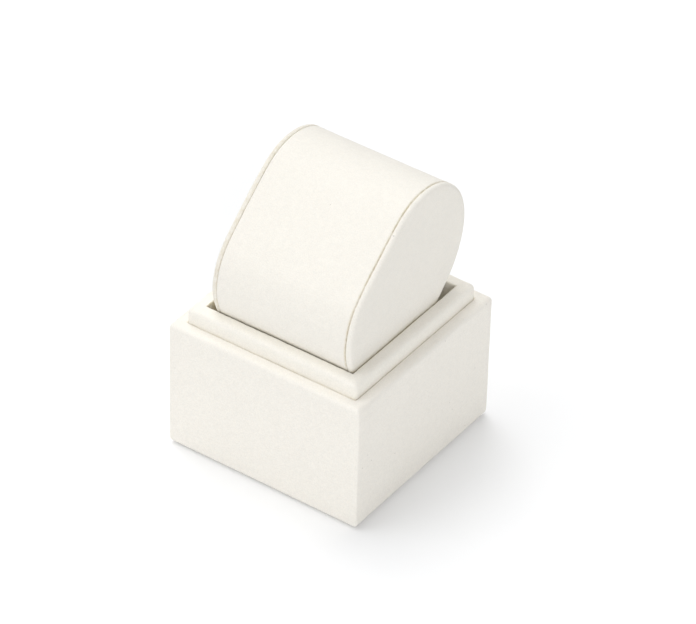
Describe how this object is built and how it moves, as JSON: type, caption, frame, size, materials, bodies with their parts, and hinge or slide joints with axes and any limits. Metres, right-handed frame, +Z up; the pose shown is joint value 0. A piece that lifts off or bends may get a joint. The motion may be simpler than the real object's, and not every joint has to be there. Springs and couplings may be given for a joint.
{
  "type": "jewelry holder",
  "caption": "Square microsuede-covered display stand with a raised collar round a shallow well, and a tilted oval pillow for a watch or bracelet.",
  "frame": {"origin": "centre of the underside, on the surface that the stand rests on", "axes": "+Z up, front is -Y, where the pillow's low edge meets the collar, and +X is to the right seen from the front"},
  "size_m": [0.075, 0.075, 0.1019],
  "materials": {
    "base_suede": "cream microsuede, short brushed nap",
    "pillow_suede": "cream microsuede, short brushed nap, over soft foam",
    "underside_suede": "cream microsuede sheet, plain",
    "fibreboard": "bare fibreboard, sawn edges",
    "greyboard": "bare grey board",
    "foam": "fine open-cell foam"
  },
  "bodies": {
    "root": {"underside_sheet": "underside_suede", "floor_board": "fibreboard", "front_wall": "fibreboard", "back_wall": "fibreboard", "left_wall": "fibreboard", "right_wall": "fibreboard", "base_cover": "base_suede", "collar_front": "fibreboard", "collar_back": "fibreboard", "collar_left": "fibreboard", "collar_right": "fibreboard", "collar_cover": "base_suede", "riser_block": "foam", "well_board": "greyboard", "well_lining": "base_suede", "pillow_core": "foam", "pillow_wrap": "pillow_suede", "pillow_left_board": "greyboard", "pillow_right_board": "greyboard", "pillow_left_cover": "pillow_suede", "pillow_right_cover": "pillow_suede"}
  },
  "joints": []
}
